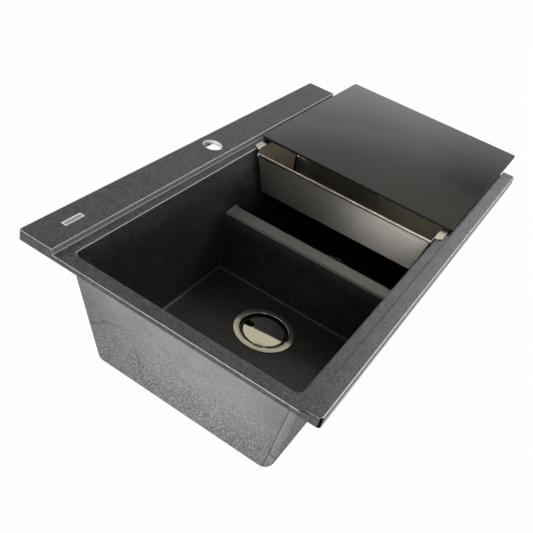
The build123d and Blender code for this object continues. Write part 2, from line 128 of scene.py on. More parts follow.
def stretch(tree, value, low, high, to_low=0.0, to_high=1.0, smooth=False):
    """Carry a value from one range to another, and clamp it there."""
    kind = "SMOOTHSTEP" if smooth else "LINEAR"
    inputs = {"Value": value, "From Min": low, "From Max": high, "To Min": to_low, "To Max": to_high}
    return add(tree, "ShaderNodeMapRange", inputs, interpolation_type=kind).outputs[0]


def times(tree, *masks):
    """The product of masks, full only where all of them are."""
    product = masks[0]
    for mask in masks[1:]:
        product = maths(tree, "MULTIPLY", product, mask)
    return product


def either(tree, first, second):
    return maths(tree, "MAXIMUM", first, second)


def opposite(tree, mask):
    return maths(tree, "SUBTRACT", 1.0, mask)


def distance(tree, spot, place):
    return vector_maths(tree, "LENGTH", vector_maths(tree, "SUBTRACT", spot, place), output=1)


def noise(tree, spot, scale, detail, **more):
    """Outputs of a noise with so many waves in a metre."""
    return add(tree, "ShaderNodeTexNoise", {"Vector": spot, "Scale": scale, "Detail": detail, **more}).outputs


def blend(tree, share, first, second):
    return add(tree, "ShaderNodeMix", {0: share, 2: first, 3: second}).outputs[0]


def mix(tree, share, first, second, mode="MIX"):
    """Blend two colours, as blend does with values."""
    made = add(tree, "ShaderNodeMix", {0: share, 6: first, 7: second}, data_type="RGBA", blend_type=mode)
    return made.outputs[2]


def tint(tree, colour, factor):
    return mix(tree, 1.0, colour, factor, "MULTIPLY")


def grey(value, warmth=0.0):
    """A grey with a little more red and less blue."""
    return (value * (1 + warmth), value, value * (1 - warmth), 1)


# The studio's colours from the horizon (0) to overhead (1), and of the bright sweep at the back right
ROOM_RISE = [
    (0.00, (0.63, 0.61, 0.66, 1)),
    (0.30, (0.45, 0.435, 0.46, 1)),
    (0.49, (0.23, 0.23, 0.23, 1)),
    (0.66, (0.62, 0.60, 0.49, 1)),
    (0.78, (0.64, 0.61, 0.48, 1)),
    (0.86, (0.12, 0.11, 0.10, 1)),
    (1.00, (0.08, 0.08, 0.07, 1)),
]
SWEEP_COLOUR = (1.08, 1.05, 1.09, 1)

# Area lamps: name, direction from the sink, distance, size, watts, and colour where it isn't white
LAMPS = [
    ("left_end", (-0.978, -0.18, 0.14), 2.4, (1.0, 0.5), 30),
    ("left_strip", (-0.979, 0.10, 0.16), 2.4, (0.30, 0.5), 10),
    ("front_right", (0.775, -0.20, 0.60), 3.0, (0.7, 0.6), 40, (1.0, 0.97, 1.03)),
    ("overhead", (-0.50, 0.35, 0.80), 2.4, (1.3, 0.35), 6),
    ("above_camera", (-0.45, -0.45, 0.90), 2.4, (0.5, 0.5), 3),
]

FLOOR_SIZE, FLOOR_GAP = 14, 0.3 * MM
FLOOR_IN_GLOSS = 0.5          # how white the floor is in the sink's gloss
FLOOR_WHITE = 0.975           # the rest is left to the sink's shadow
WHITE = (1, 1, 1, 1)


def studio_world():
    """White to the camera. Gloss shows a bright sweep at the back right, a cream band and a dark top."""
    world = bpy.data.worlds.new("studio")
    bpy.context.scene.world = world
    world.use_nodes = True
    tree = world.node_tree
    tree.nodes.clear()
    direction = tree.nodes.new("ShaderNodeTexCoord").outputs["Generated"]
    height = split(tree, direction)["Z"]
    level = vector_maths(tree, "MULTIPLY", direction, (1, 1, 0))
    around = split(tree, vector_maths(tree, "NORMALIZE", level))

    rise = add(tree, "ShaderNodeValToRGB", {0: height})
    ramp = rise.color_ramp
    ramp.elements[0].position, ramp.elements[0].color = ROOM_RISE[0]
    ramp.elements[1].position, ramp.elements[1].color = ROOM_RISE[-1]
    for position, colour in ROOM_RISE[1:-1]:
        ramp.elements.new(position).color = colour

    behind_camera = stretch(tree, around["X"], 0.1, -0.7, smooth=True)
    light = maths(tree, "MULTIPLY_ADD", behind_camera, -0.62, 1.0)
    flag = times(tree, stretch(tree, around["Y"], 0.22, 0.40), stretch(tree, around["X"], -0.4, -0.7))
    flagged = times(tree, light, maths(tree, "MULTIPLY_ADD", flag, -0.90, 1.0))
    room_colour = tint(tree, rise.outputs[0], flagged)

    further_back = stretch(tree, around["Y"], 0.42, 0.66, 1.0, 1.20, smooth=True)
    low_down = stretch(tree, height, 0.345, 0.44, 0.82, 1.04, smooth=True)
    sweep_colour = tint(tree, times(tree, further_back, low_down), SWEEP_COLOUR)
    sweep = times(
        tree,
        stretch(tree, height, 0.70, 0.28),
        stretch(tree, around["Y"], 0.05, 0.30, smooth=True),
        stretch(tree, around["X"], -0.5, 0.3, smooth=True),
    )
    lit = mix(tree, sweep, room_colour, sweep_colour)
    room = add(tree, "ShaderNodeBackground", {"Color": lit, "Strength": 1.0}).outputs[0]
    white = add(tree, "ShaderNodeBackground", {"Color": WHITE, "Strength": 1.0}).outputs[0]
    path = tree.nodes.new("ShaderNodeLightPath").outputs
    seen = add(tree, "ShaderNodeMixShader", {0: path["Is Camera Ray"], 1: room, 2: white})
    add(tree, "ShaderNodeOutputWorld", {"Surface": seen.outputs[0]})


def softbox(name, direction, reach, size, watts, colour=(1, 1, 1)):
    """An area lamp that looks at the sink from a direction."""
    data = bpy.data.lights.new(name, "AREA")
    data.shape = "RECTANGLE"
    data.size, data.size_y = size
    data.energy = watts
    data.color = colour
    lamp = bpy.data.objects.new(name, data)
    bpy.context.scene.collection.objects.link(lamp)
    towards = Vector(direction).normalized()
    lamp.location = towards * reach
    lamp.rotation_mode = "QUATERNION"
    lamp.rotation_quaternion = towards.to_track_quat("Z", "Y")


def white_floor():
    """Plain floor, white to the camera with the sink's shadow kept."""
    deselect()
    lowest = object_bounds()[0].z
    bpy.ops.mesh.primitive_plane_add(size=FLOOR_SIZE, location=(0, 0, lowest - FLOOR_GAP))
    floor = new_piece("floor")
    material = bpy.data.materials.new("white_floor")
    material.use_nodes = True
    tree = material.node_tree
    tree.nodes.clear()
    path = tree.nodes.new("ShaderNodeLightPath").outputs
    matt = add(tree, "ShaderNodeBsdfDiffuse", {"Color": grey(0.82)}).outputs[0]
    white = add(tree, "ShaderNodeEmission", {"Color": WHITE, "Strength": 1.0}).outputs[0]
    shiny = either(tree, path["Is Glossy Ray"], path["Is Transmission Ray"])
    seen = either(tree, path["Is Camera Ray"], times(tree, shiny, FLOOR_IN_GLOSS))
    mixed = add(tree, "ShaderNodeMixShader", {0: times(tree, seen, FLOOR_WHITE), 1: matt, 2: white})
    add(tree, "ShaderNodeOutputMaterial", {"Surface": mixed.outputs[0]})
    floor.data.materials.append(material)
    floor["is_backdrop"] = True


# Effects that several materials share
def new_group(name, inputs, *outputs):
    """A shader node group with a vector and named values as inputs, and its two end nodes."""
    tree = bpy.data.node_groups.new(name, "ShaderNodeTree")
    tree.interface.new_socket("Vector", in_out="INPUT", socket_type="NodeSocketVector")
    for label, default in inputs.items():
        socket = tree.interface.new_socket(label, in_out="INPUT", socket_type="NodeSocketFloat")
        socket.default_value = default
    for label in outputs:
        tree.interface.new_socket(label, in_out="OUTPUT", socket_type="NodeSocketFloat")
    return tree, tree.nodes.new("NodeGroupInput").outputs, tree.nodes.new("NodeGroupOutput")


def mineral_grain_group():
    """Quartz grains bound in resin: a bright and dark grain mask, soft clouds and the grains' relief."""
    inputs = {"Grains per metre": 900.0, "Clouds per metre": 14.0}
    tree, given, result = new_group("mineral grain", inputs, "Grains", "Clouds", "Relief")
    spot, grains = given["Vector"], given["Grains per metre"]
    coarse = add(tree, "ShaderNodeTexVoronoi", {"Vector": spot, "Scale": grains}).outputs
    fine = noise(tree, spot, times(tree, grains, 2.3), 2.0)["Fac"]
    coarse_pick = add(tree, "ShaderNodeSeparateColor", {"Color": coarse["Color"]}).outputs[0]
    both = maths(tree, "MULTIPLY_ADD", coarse_pick, 0.6, times(tree, fine, 0.4))
    clouds = noise(tree, spot, given["Clouds per metre"], 4.0, Roughness=0.55)["Fac"]
    relief = maths(tree, "MULTIPLY_ADD", coarse["Distance"], 0.5, fine)
    feed(tree, result, Grains=both, Clouds=clouds, Relief=relief)
    return tree


def brush_line_group():
    """Fine lines left by brushing: noise drawn out along X of the vector that it is given."""
    inputs = {"Lines per metre": 2500.0, "Length": 120.0}
    tree, given, result = new_group("brush lines", inputs, "Lines", "Patches")
    shorter = join(tree, maths(tree, "DIVIDE", 1.0, given["Length"]), 1.0, 1.0)
    drawn = vector_maths(tree, "MULTIPLY", given["Vector"], shorter)
    lines = noise(tree, drawn, given["Lines per metre"], 3.0)["Fac"]
    feed(tree, result, Lines=lines, Patches=noise(tree, given["Vector"], 18.0, 3.0)["Fac"])
    return tree


def handling_group():
    """Faint smears and specks of dust from handling, both from 0 to 1."""
    tree, given, result = new_group("handling", {"Smears per metre": 9.0}, "Smears", "Dust")
    smears = noise(tree, given["Vector"], given["Smears per metre"], 5.0, Distortion=0.6)
    smears = stretch(tree, smears["Fac"], 0.42, 0.68, smooth=True)
    specks = add(tree, "ShaderNodeTexVoronoi", {"Vector": given["Vector"], "Scale": 420.0}).outputs
    feed(tree, result, Smears=smears, Dust=stretch(tree, specks["Distance"], 0.12, 0.05))
    return tree


GRAIN = mineral_grain_group()
BRUSH = brush_line_group()
HANDLING = handling_group()


def use(tree, group, spot, **inputs):
    """Place a group in a material, its inputs written with underscores for spaces."""
    made = tree.nodes.new("ShaderNodeGroup")
    made.node_tree = group
    tree.links.new(spot, made.inputs["Vector"])
    for key, value in inputs.items():
        made.inputs[key.replace("_", " ")].default_value = value
    return made.outputs


def new_material(name, **constants):
    """A material, its tree, its Principled shader with some constants set, and its texture coordinates."""
    material = bpy.data.materials.new(name)
    material.use_nodes = True
    tree = material.node_tree
    shader = tree.nodes["Principled BSDF"]
    for key, value in constants.items():
        shader.inputs[key.replace("_", " ")].default_value = value
    return material, tree, shader, tree.nodes.new("ShaderNodeTexCoord").outputs


def fed_by(shader, label):
    return shader.inputs[label].links[0].from_socket


def bump(tree, shader, height, depth, strength=1.0):
    made = add(tree, "ShaderNodeBump", {"Height": height, "Distance": depth, "Strength": strength})
    feed(tree, shader, Normal=made.outputs[0])


# Places on the sink body
BOWL_MIDDLE = Vector((0.201, -0.025, -0.020))
LEFT_WALL_MIDDLE = Vector((-0.365, -0.035, -0.055))
RAIL_END = Vector((-0.430, -0.250, 0.010))
TAP_PLACE = Vector((0, 0.2195, 0))
TAP_WALL = 17.8 * MM
TAP_POCKET = 36 * MM

# Masks on the sink body: axes with their soft ends, first where a mask starts and then where it is full.
# X, Y and Z are places in millimetres, and the normal's are parts of its length, as levelness is of Z.
MASKS = {
    "under the rim": [("Z", 0.4, -0.4)],
    "facing down": [("normal Z", -0.3, -0.6)],
    "tap pocket's back": [("Y", 230, 232), ("Z", 11.0, 10.5), ("Z", 0.2, 0.4), ("normal Y", -0.3, -0.6)],
    "upper round": [("normal Z", 0.38, 0.60), ("normal Z", 0.90, 0.76)],
    "rail's left end": [("normal X", -0.1, -0.3)],
    "behind the step": [("Y", 185.8, 186.2), ("Z", 12.4, 12.0)],
    "above the bowls' depth": [("Z", -120, -30)],
    "foot of the step": [
        ("Y", 184.1, 184.5), ("Y", 189.5, 188.5), ("Z", 6.0, 7.8), ("Z", 9.2, 8.8), ("normal X", -0.7, -0.5),
    ],
    "face of the step": [("Y", 100, 120), ("Z", 8.0, 8.8), ("normal Y", -0.45, -0.75)],
    "top of the divider": [("X", 21.2, 13.2), ("X", -21.2, -13.2), ("Z", -80, -86), ("normal Z", 0.90, 0.97)],
    "front of the rail": [("Y", -244, -247), ("Z", 12.0, 8.5), ("normal Y", -0.5, -0.8)],
    "upper line of the rail": [
        ("Y", -232, -236), ("normal Z", 0.99, 0.97), ("normal Z", 0.70, 0.84), ("normal Y", -0.1, -0.2),
    ],
    "steep": [("levelness", 0.7, 0.3)],
}
CUT_COLOUR = (0.88, 0.86, 0.91, 1)


def surface_axes(tree, surface):
    """Where a surface is and which way it faces, by the names that MASKS uses."""
    axes = {}
    for prefix, output in (("", "Object"), ("normal ", "Normal")):
        parts = split(tree, surface[output])
        for letter in "XYZ":
            axes[prefix + letter] = parts[letter]
    axes["levelness"] = maths(tree, "ABSOLUTE", axes["normal Z"])
    return axes


def mask(tree, axes, name):
    chosen = []
    for axis, start, full in MASKS[name]:
        unit = MM if axis in "XYZ" else 1
        chosen.append(stretch(tree, axes[axis], start * unit, full * unit))
    return times(tree, *chosen)


def raw_surface(tree, surface, axes):
    """Two masks: the raw bowls' outsides and undersides, and the cut wall of the tap hole and its pocket."""
    spot, normal = surface["Object"], surface["Normal"]
    mirror = join(tree, maths(tree, "SIGN", axes["X"]), 1.0, 1.0)
    outward = vector_maths(tree, "SUBTRACT", vector_maths(tree, "MULTIPLY", spot, mirror), BOWL_MIDDLE)
    facing = vector_maths(tree, "MULTIPLY", normal, mirror)
    away = vector_maths(tree, "DOT_PRODUCT", outward, facing, output=1)
    outside = times(tree, stretch(tree, away, 0.0, 4 * MM), mask(tree, axes, "under the rim"))
    raw = either(tree, outside, mask(tree, axes, "facing down"))
    level = vector_maths(tree, "MULTIPLY", vector_maths(tree, "SUBTRACT", spot, TAP_PLACE), (1, 1, 0))
    from_tap = vector_maths(tree, "LENGTH", level, output=1)
    tap_wall = stretch(tree, from_tap, TAP_WALL + 0.2 * MM, TAP_WALL)
    near_tap = stretch(tree, from_tap, TAP_POCKET, TAP_POCKET - 2 * MM)
    return raw, either(tree, tap_wall, times(tree, near_tap, mask(tree, axes, "tap pocket's back")))


def painted_edge_highlights(tree, axes, from_end):
    """Mask of the painted highlights on the rounded upper edges: full on those that face left or to the
    front, weaker in the bowls.
    """
    to_right, to_back = axes["normal X"], axes["normal Y"]
    highlight_by_facing = stretch(tree, maths(tree, "MINIMUM", to_right, to_back), -0.15, -0.35, 0.22, 1.0)
    in_bowl = stretch(tree, to_right, -0.3, 0.3, 0.09, 0.24)
    share = blend(tree, mask(tree, axes, "above the bowls' depth"), in_bowl, highlight_by_facing)
    rail_end = times(tree, stretch(tree, from_end, 34 * MM, 30 * MM), mask(tree, axes, "rail's left end"))
    kept = opposite(tree, either(tree, mask(tree, axes, "behind the step"), rail_end))
    return times(tree, mask(tree, axes, "upper round"), share, kept)


def rail_corner_shade_mask(tree, axes, from_end):
    """Mask of the rail's upright corner at its left end, which gets painted shade: near black and without
    gloss.
    """
    to_left = stretch(tree, axes["normal X"], -0.15, -0.45)
    to_front = stretch(tree, axes["normal Y"], -0.10, -0.35)
    return times(tree, maths(tree, "MINIMUM", to_left, to_front), stretch(tree, from_end, 30 * MM, 24 * MM))


def raw_colour(tree, spot, axes, depth):
    """Pale unfinished skin and its relief: cloudy, then pits and crumbs lower down, with a few flow lines and
    a crease. It also carries painted light: lighter round the left wall's middle and on faces toward the
    front, and a painted highlight line along the bowl's rounded corner.
    """
    to_back = axes["normal Y"]
    grain = use(tree, GRAIN, spot, Grains_per_metre=650.0, Clouds_per_metre=9.0)
    clouds = stretch(tree, grain["Clouds"], 0.30, 0.70)
    pits = stretch(tree, grain["Grains"], 0.44, 0.34)
    crumbs = stretch(tree, grain["Grains"], 0.60, 0.70)
    even = mix(tree, clouds, grey(0.135, -0.035), grey(0.245, -0.035))
    pitted = mix(tree, pits, grey(0.185, -0.035), grey(0.075, -0.02))
    speckled = mix(tree, crumbs, pitted, grey(0.42, -0.03))
    mixed = mix(tree, maths(tree, "MULTIPLY_ADD", depth, 0.70, 0.14), even, speckled)

    drift = noise(tree, spot, 7.0, 4.0)
    bend = add(tree, "ShaderNodeVectorMath", {0: drift["Color"], "Scale": 0.16}, operation="SCALE")
    bent = vector_maths(tree, "ADD", spot, bend.outputs[0])
    cells = add(tree, "ShaderNodeTexVoronoi", {"Vector": bent, "Scale": 8.0}, feature="DISTANCE_TO_EDGE")
    line = stretch(tree, cells.outputs["Distance"], 0.018, 0.004)
    flow = times(tree, line, stretch(tree, drift["Fac"], 0.52, 0.60), 0.6)
    wander = maths(tree, "MULTIPLY_ADD", drift["Fac"], 0.30, to_back)
    crease = stretch(tree, maths(tree, "ABSOLUTE", maths(tree, "ADD", wander, 0.20)), 0.09, 0.02, 0.0, 0.55)
    # painted highlight: a lighter line along the bowl's rounded outer corner
    painted_corner_highlight = stretch(tree, maths(tree, "ABSOLUTE", maths(tree, "ADD", wander, 0.36)), 0.14, 0.04, 0.0, 0.40)

    # painted light: lighter round the left wall's middle, darker away from it, and lighter on faces toward
    # the front
    from_middle = distance(tree, spot, LEFT_WALL_MIDDLE)
    lit = tint(tree, mixed, stretch(tree, from_middle, 0.03, 0.24, 1.08, 0.72, smooth=True))
    lit = tint(tree, lit, stretch(tree, to_back, -0.5, -0.8, 1.0, 1.45))
    lit = mix(tree, painted_corner_highlight, lit, grey(0.30, -0.03))
    return mix(tree, either(tree, flow, crease), lit, grey(0.035)), grain["Relief"]


def granite():
    """Dark composite, fine and even where it faces the user, raw and pale under the rim. Painted highlights
    on its rounded edges and the rail, painted light on the step's face and the divider's top, and painted
    shade deep in the bowls and in the rail's left corner.
    """
    material, tree, shader, surface = new_material("granite", IOR=1.56)
    spot, axes = surface["Object"], surface_axes(tree, surface)
    height = axes["Z"]
    raw, cut = raw_surface(tree, surface, axes)
    grain = use(tree, GRAIN, spot, Grains_per_metre=1250.0, Clouds_per_metre=55.0)
    smears = use(tree, HANDLING, spot, Smears_per_metre=11.0)["Smears"]
    mottle = noise(tree, spot, 210.0, 3.0, Roughness=0.7)["Fac"]
    from_end = distance(tree, spot, RAIL_END)
    # the rail's left corner gets painted shade
    corner = rail_corner_shade_mask(tree, axes, from_end)
    # the divider's top gets painted light
    divider = mask(tree, axes, "top of the divider")
    # painted shade: darker and duller deep in the bowls, less so on steep walls facing right, none on the
    # divider's top
    less = times(tree, mask(tree, axes, "steep"), stretch(tree, axes["normal X"], 0.0, 0.6, 0.30, 0.62))
    sunk = stretch(tree, height, -10 * MM, -45 * MM, smooth=True)
    sunk = times(tree, sunk, opposite(tree, divider), opposite(tree, less))

    clouds = stretch(tree, grain["Clouds"], 0.3, 0.7)
    body = mix(tree, clouds, grey(0.010, -0.08), grey(0.032, -0.08))
    face = tint(tree, body, stretch(tree, mottle, 0.30, 0.70, 0.20, 1.80))
    # painted highlights along the rounded edges and the step's foot
    edges = either(tree, painted_edge_highlights(tree, axes, from_end), mask(tree, axes, "foot of the step"))
    for share, colour in (
        (stretch(tree, grain["Grains"], 0.60, 0.74), grey(0.090, -0.07)),
        (times(tree, smears, 0.18), grey(0.070, -0.02)),
        # painted shade deep in the bowls
        (times(tree, sunk, 0.55), grey(0.010)),
        # painted light on the divider's top
        (divider, grey(0.19, 0.02)),
        # painted light on the step's face
        (mask(tree, axes, "face of the step"), grey(0.16, -0.03)),
        # painted highlights on the rounded edges
        (edges, grey(0.38, -0.05)),
        # painted reflection on the rail's front face
        (mask(tree, axes, "front of the rail"), grey(0.31, -0.03)),
        # painted highlight along the rail's upper outer edge
        (mask(tree, axes, "upper line of the rail"), grey(0.85, -0.03)),
        # painted shade in the rail's left corner
        (corner, grey(0.003)),
    ):
        face = mix(tree, share, face, colour)
    depth = stretch(tree, height, -30 * MM, -200 * MM, smooth=True)
    raw_face, raw_relief = raw_colour(tree, spot, axes, depth)
    colour = mix(tree, cut, mix(tree, raw, face, raw_face), CUT_COLOUR)

    dull = either(tree, sunk, times(tree, corner, 1.9))
    shine = stretch(tree, dull, 0.0, 1.9, 0.5, 0.0)
    patchy = blend(tree, times(tree, sunk, 0.5), stretch(tree, mottle, 0.36, 0.64, 0.72, 1.28), 1.0)
    roughness = blend(tree, raw, stretch(tree, grain["Grains"], 0.3, 0.7, 0.34, 0.46), 0.78)
    feed(tree, shader, Base_Color=colour, Specular_IOR_Level=times(tree, shine, patchy), Roughness=roughness)
    deep_relief = times(tree, raw_relief, maths(tree, "MULTIPLY_ADD", depth, 3.0, 0.5))
    bump(tree, shader, blend(tree, raw, times(tree, grain["Relief"], 0.4), deep_relief), 0.45 * MM, 0.6)
    return material


# Two colours and two roughnesses, from clean to smeared
GLASS_FACE = grey(0.006), grey(0.010), 0.07, 0.11
GLASS_EDGE = (0.004, 0.005, 0.005, 1), (0.008, 0.011, 0.010, 1), 0.38, 0.50


def black_glass(edge=False):
    """Tempered glass, black behind. Its ground edges are a little greener and duller."""
    name = "black_glass_edge" if edge else "black_glass"
    material, tree, shader, surface = new_material(name, IOR=1.55)
    smears = use(tree, HANDLING, surface["Object"], Smears_per_metre=6.0)["Smears"]
    if edge:
        shader.inputs["Specular IOR Level"].default_value = 0.2
    clean, smeared, smooth, dull = GLASS_EDGE if edge else GLASS_FACE
    colour = mix(tree, smears, clean, smeared)
    feed(tree, shader, Base_Color=colour, Roughness=stretch(tree, smears, 0.0, 1.0, smooth, dull))
    bump(tree, shader, noise(tree, surface["Object"], 22.0, 1.0)["Fac"], 0.2 * MM, 0.12)
    return material


ARC_RADIUS = 45 * MM          # where a turn of one radian is an arc of this length


def turned_place(tree, spot):
    """Arc and radius about the nearer waste's centre, for lines left by turning or polishing."""
    centre = waste_centre("right")
    parts = split(tree, spot)
    across = maths(tree, "SUBTRACT", maths(tree, "ABSOLUTE", parts["X"]), centre.x)
    along = maths(tree, "SUBTRACT", parts["Y"], centre.y)
    radius = vector_maths(tree, "LENGTH", join(tree, across, along, 0.0), output=1)
    arc = times(tree, maths(tree, "ARCTAN2", along, across), ARC_RADIUS)
    return join(tree, arc, radius, parts["Z"])


def steel(name, colour, roughness, lines, turned_lines=False, swap=False, depth=0.02 * MM, darker=0.25):
    """Stainless steel with brush lines along X, along Y where swapped, or round a waste's centre."""
    material, tree, shader, surface = new_material(name, Metallic=1.0)
    spot = vector = surface["Object"]
    if turned_lines:
        vector = turned_place(tree, spot)
    elif swap:
        parts = split(tree, spot)
        vector = join(tree, parts["Y"], parts["X"], parts["Z"])
    brushed = use(tree, BRUSH, vector, Lines_per_metre=lines, Length=90.0)
    smears = use(tree, HANDLING, spot, Smears_per_metre=14.0)["Smears"]
    dark = tuple(part * (1 - darker) for part in colour[:3]) + (1,)
    base = mix(tree, stretch(tree, brushed["Lines"], 0.3, 0.7), dark, colour)
    base = mix(tree, times(tree, smears, 0.2), base, dark)
    patches = times(tree, brushed["Patches"], 0.6)
    uneven = maths(tree, "MULTIPLY_ADD", smears, 0.4, patches)
    feed(tree, shader, Base_Color=base, Roughness=stretch(tree, uneven, 0.15, 0.75, *roughness))
    bump(tree, shader, brushed["Lines"], depth)
    return material, tree, shader, surface


def moulded(name, colour, roughness, relief=0.06 * MM):
    """Moulded plastic or rubber with a fine skin, mould bloom and dust."""
    material, tree, shader, surface = new_material(name, IOR=1.48)
    grain = use(tree, GRAIN, surface["Object"], Grains_per_metre=1600.0, Clouds_per_metre=30.0)
    wear = use(tree, HANDLING, surface["Object"], Smears_per_metre=25.0)
    paler = tuple(min(1, part * 1.7 + 0.006) for part in colour[:3]) + (1,)
    tinted = mix(tree, stretch(tree, grain["Clouds"], 0.35, 0.75), colour, paler)
    dusty = mix(tree, times(tree, wear["Dust"], 0.3), tinted, grey(0.25))
    feed(tree, shader, Base_Color=dusty, Roughness=stretch(tree, wear["Smears"], 0.0, 1.0, *roughness))
    bump(tree, shader, grain["Relief"], relief, 0.6)
    return material


WASTE_FINISH = {
    "colour": (0.66, 0.64, 0.58, 1), "roughness": (0.15, 0.22), "lines": 2200.0, "turned_lines": True,
    "depth": 0.003 * MM,
}
# the colour of painted shade on the metals
SHADE_COLOUR = grey(0.02)
DISH_LIP, DISH_WELL, BASKET_RIM = (47.6 * MM, 47.2 * MM), (44.8 * MM, 44.0 * MM), (37.0 * MM, 37.8 * MM)
DISH_WELL_SOFT = 0.6 * MM


def paint_shade(tree, shader, place, strength):
    """Painted shade: darken a metal's colour where a mask is full."""
    shaded = mix(tree, times(tree, place, strength), fed_by(shader, "Base Color"), SHADE_COLOUR)
    feed(tree, shader, Base_Color=shaded)


def dish_steel():
    """Satin rim, polished lip, and a dulled well below the lip where the basket's rim sits, darkened with
    painted shade.
    """
    material, tree, shader, surface = steel("dish_steel", **WASTE_FINISH)
    place = split(tree, turned_place(tree, surface["Object"]))
    lip = stretch(tree, place["Y"], *DISH_LIP)
    below = stretch(tree, place["Z"], FLOOR_Z + DISH_WELL_SOFT, FLOOR_Z - DISH_WELL_SOFT)
    well = times(tree, stretch(tree, place["Y"], *DISH_WELL), below)
    # painted shade in the well below the lip
    paint_shade(tree, shader, well, 0.92)
    polished = blend(tree, lip, fed_by(shader, "Roughness"), 0.05)
    feed(tree, shader, Roughness=blend(tree, well, polished, 0.35))
    return material


def basket_steel():
    """Satin cup whose rim has painted shade where it lies under the cover's edge."""
    material, tree, shader, surface = steel("basket_steel", **WASTE_FINISH)
    radius = split(tree, turned_place(tree, surface["Object"]))["Y"]
    up = stretch(tree, split(tree, surface["Normal"])["Z"], 0.2, 0.5)
    # painted shade on the rim's top under the cover's edge
    paint_shade(tree, shader, times(tree, stretch(tree, radius, *BASKET_RIM), up), 0.94)
    return material


# Tray sizes
SHEET = 1.2 * MM
TRAY_HALF_WIDTH = 84.5 * MM
TRAY_DRAFT = math.radians(12)
TRAY_WALL_DROP = 7 * MM
TRAY_FLANGE = 12 * MM
TRAY_FLANGE_BEVEL = 7.5 * MM
TRAY_FOLD = 0.6 * MM
TRAY_CORNER = 2 * MM
TRAY_HEM = 6 * MM
TRAY_HEM_SUNK = 0.05 * MM
TRAY_FOLD_ROUND = 0.9         # rounds of the folds, in millimetres and as a share of the hem's fold
TRAY_HOLE_RADIUS = 3 * MM
TRAY_HOLE_PITCH = 18 * MM
TRAY_HOLE_COLUMNS = 6
TRAY_HOLE_ROWS = 17

# Soft ends of the painted shade in the fold inside the tray's far corner and of the painted highlight on the
# edge outside, from the walls
TRAY_FOLD_SHADE, TRAY_CORNER_HIGHLIGHT = (3.2 * MM, 2.6 * MM), (2.2 * MM, 1.8 * MM)


def tray_frame():
    """The tray's box, its middle, how far a wall leans in over its drop, and half its mouth's two sides."""
    low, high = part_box("tray")
    lean = TRAY_WALL_DROP * math.tan(TRAY_DRAFT)
    half_y = (high.y - low.y) / 2 - TRAY_FLANGE - lean
    return low, high, (low + high) / 2, lean, TRAY_HALF_WIDTH - lean, half_y


def tray_steel():
    """Sheet with level brush lines: coarse outside, finer inside the tray, with a painted highlight outside
    the back corner and painted shade in its fold inside.
    """
    material, tree, shader, surface = steel(
        "brushed_tray_steel", (0.76, 0.72, 0.645, 1), (0.19, 0.22), 3000.0, swap=True, depth=0.001 * MM
    )
    low, high, centre, _, half_x, half_y = tray_frame()
    spot, place = surface["Object"], split(tree, surface["Object"])
    from_centre = vector_maths(tree, "SUBTRACT", spot, centre)
    outward = vector_maths(tree, "DOT_PRODUCT", from_centre, surface["Normal"], output=1)
    wall_top = high.z - TRAY_WALL_DROP
    hem_foot = wall_top - TRAY_HEM
    below_hem = stretch(tree, place["Z"], hem_foot, hem_foot - 0.3 * MM)
    outside = times(tree, stretch(tree, outward, 0.0, 2 * MM), below_hem)
    haze = stretch(tree, place["Y"], 20 * MM, -170 * MM, 0.0, 0.28, smooth=True)
    hazy = maths(tree, "ADD", fed_by(shader, "Roughness"), haze)
    roughness = blend(tree, outside, hazy, 0.34)

    # distances that stay the same all the way down a tapered wall
    reach = split(tree, vector_maths(tree, "SUBTRACT", spot, Vector((centre.x, centre.y, wall_top))))
    taper = times(tree, reach["Z"], -math.tan(TRAY_DRAFT))
    to_right = maths(tree, "ADD", taper, reach["X"])
    to_left = maths(tree, "SUBTRACT", taper, reach["X"])
    to_back = maths(tree, "ADD", taper, reach["Y"])

    def corner(side, inset, ends):
        """Mask of the upright corner between the back end wall and a long wall."""
        far, near = ends
        return times(
            tree,
            stretch(tree, side, half_x - inset - far, half_x - inset - near),
            stretch(tree, to_back, half_y - inset - far, half_y - inset - near),
        )

    # the folded corners: a painted highlight outside, and painted shade, black, in the depth of the fold
    # inside
    tray_fold_shade = times(tree, corner(to_right, SHEET, TRAY_FOLD_SHADE), opposite(tree, outside))
    tray_corner_highlight = corner(to_left, 0, TRAY_CORNER_HIGHLIGHT)
    colour = mix(tree, tray_corner_highlight, fed_by(shader, "Base Color"), grey(0.98, 0.03))
    colour = mix(tree, tray_fold_shade, colour, grey(0.012))
    roughness = blend(tree, tray_corner_highlight, roughness, 0.62)
    feed(tree, shader, Base_Color=colour, Roughness=roughness)
    # light spreads across the level lines: up and down on the walls, along X on level faces
    spread = stretch(tree, outside, 0.0, 1.0, 0.20, 0.95)
    feed(tree, shader, Anisotropic=spread, Tangent=join(tree, 0.3, 0.0, 1.0))
    return material


# Modelling
def deselect():
    if bpy.context.object and bpy.context.object.mode != "OBJECT":
        leave_edit()
    bpy.ops.object.select_all(action="DESELECT")


def only(piece):
    deselect()
    piece.select_set(True)
    bpy.context.view_layer.objects.active = piece


def edit(piece, kind="FACE"):
    only(piece)
    bpy.ops.object.mode_set(mode="EDIT")
    bpy.ops.mesh.select_mode(type=kind)
    bpy.ops.mesh.select_all(action="DESELECT")


def leave_edit():
    bpy.ops.object.mode_set(mode="OBJECT")


def choose(piece, kind, test):
    """Select the faces, edges or verts of a piece in edit mode that pass a test."""
    bpy.ops.mesh.select_mode(type={"faces": "FACE", "edges": "EDGE", "verts": "VERT"}[kind])
    bpy.ops.mesh.select_all(action="DESELECT")
    mesh = bmesh.from_edit_mesh(piece.data)
    for item in getattr(mesh, kind):
        if test(item):
            item.select_set(True)
    mesh.select_flush_mode()
    bmesh.update_edit_mesh(piece.data)


def choose_all():
    bpy.ops.mesh.select_all(action="SELECT")


def shift(x, y, z):
    bpy.ops.transform.translate(value=(x, y, z))


